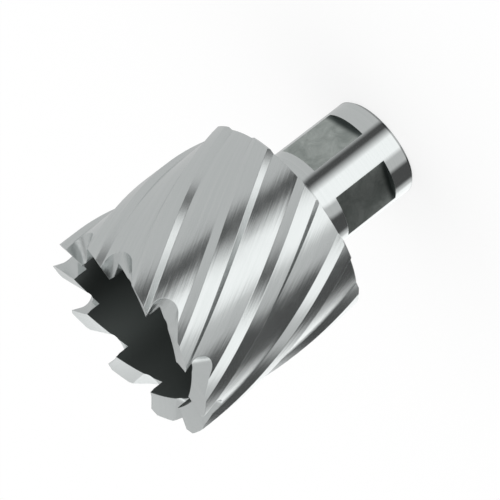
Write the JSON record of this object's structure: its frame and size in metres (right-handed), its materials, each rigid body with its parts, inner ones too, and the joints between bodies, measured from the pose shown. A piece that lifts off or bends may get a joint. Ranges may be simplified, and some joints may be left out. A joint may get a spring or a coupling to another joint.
{
  "type": "annular cutter",
  "caption": "Hollow cylindrical core drill for metal, with a toothed rim, helical flutes and a short round shank that has recessed locking flats.",
  "frame": {"origin": "centre of the shank's end face, which the cutter stands on", "axes": "+Z along the axis from the shank to the teeth; -Y and +X are the outward normals of the two locking flats"},
  "size_m": [0.039, 0.039, 0.057],
  "materials": {
    "ground_steel": "bright ground high-speed steel, with fine grinding lines along the shank and across the flutes"
  },
  "bodies": {
    "root": {"annular_cutter": "ground_steel"}
  },
  "joints": []
}
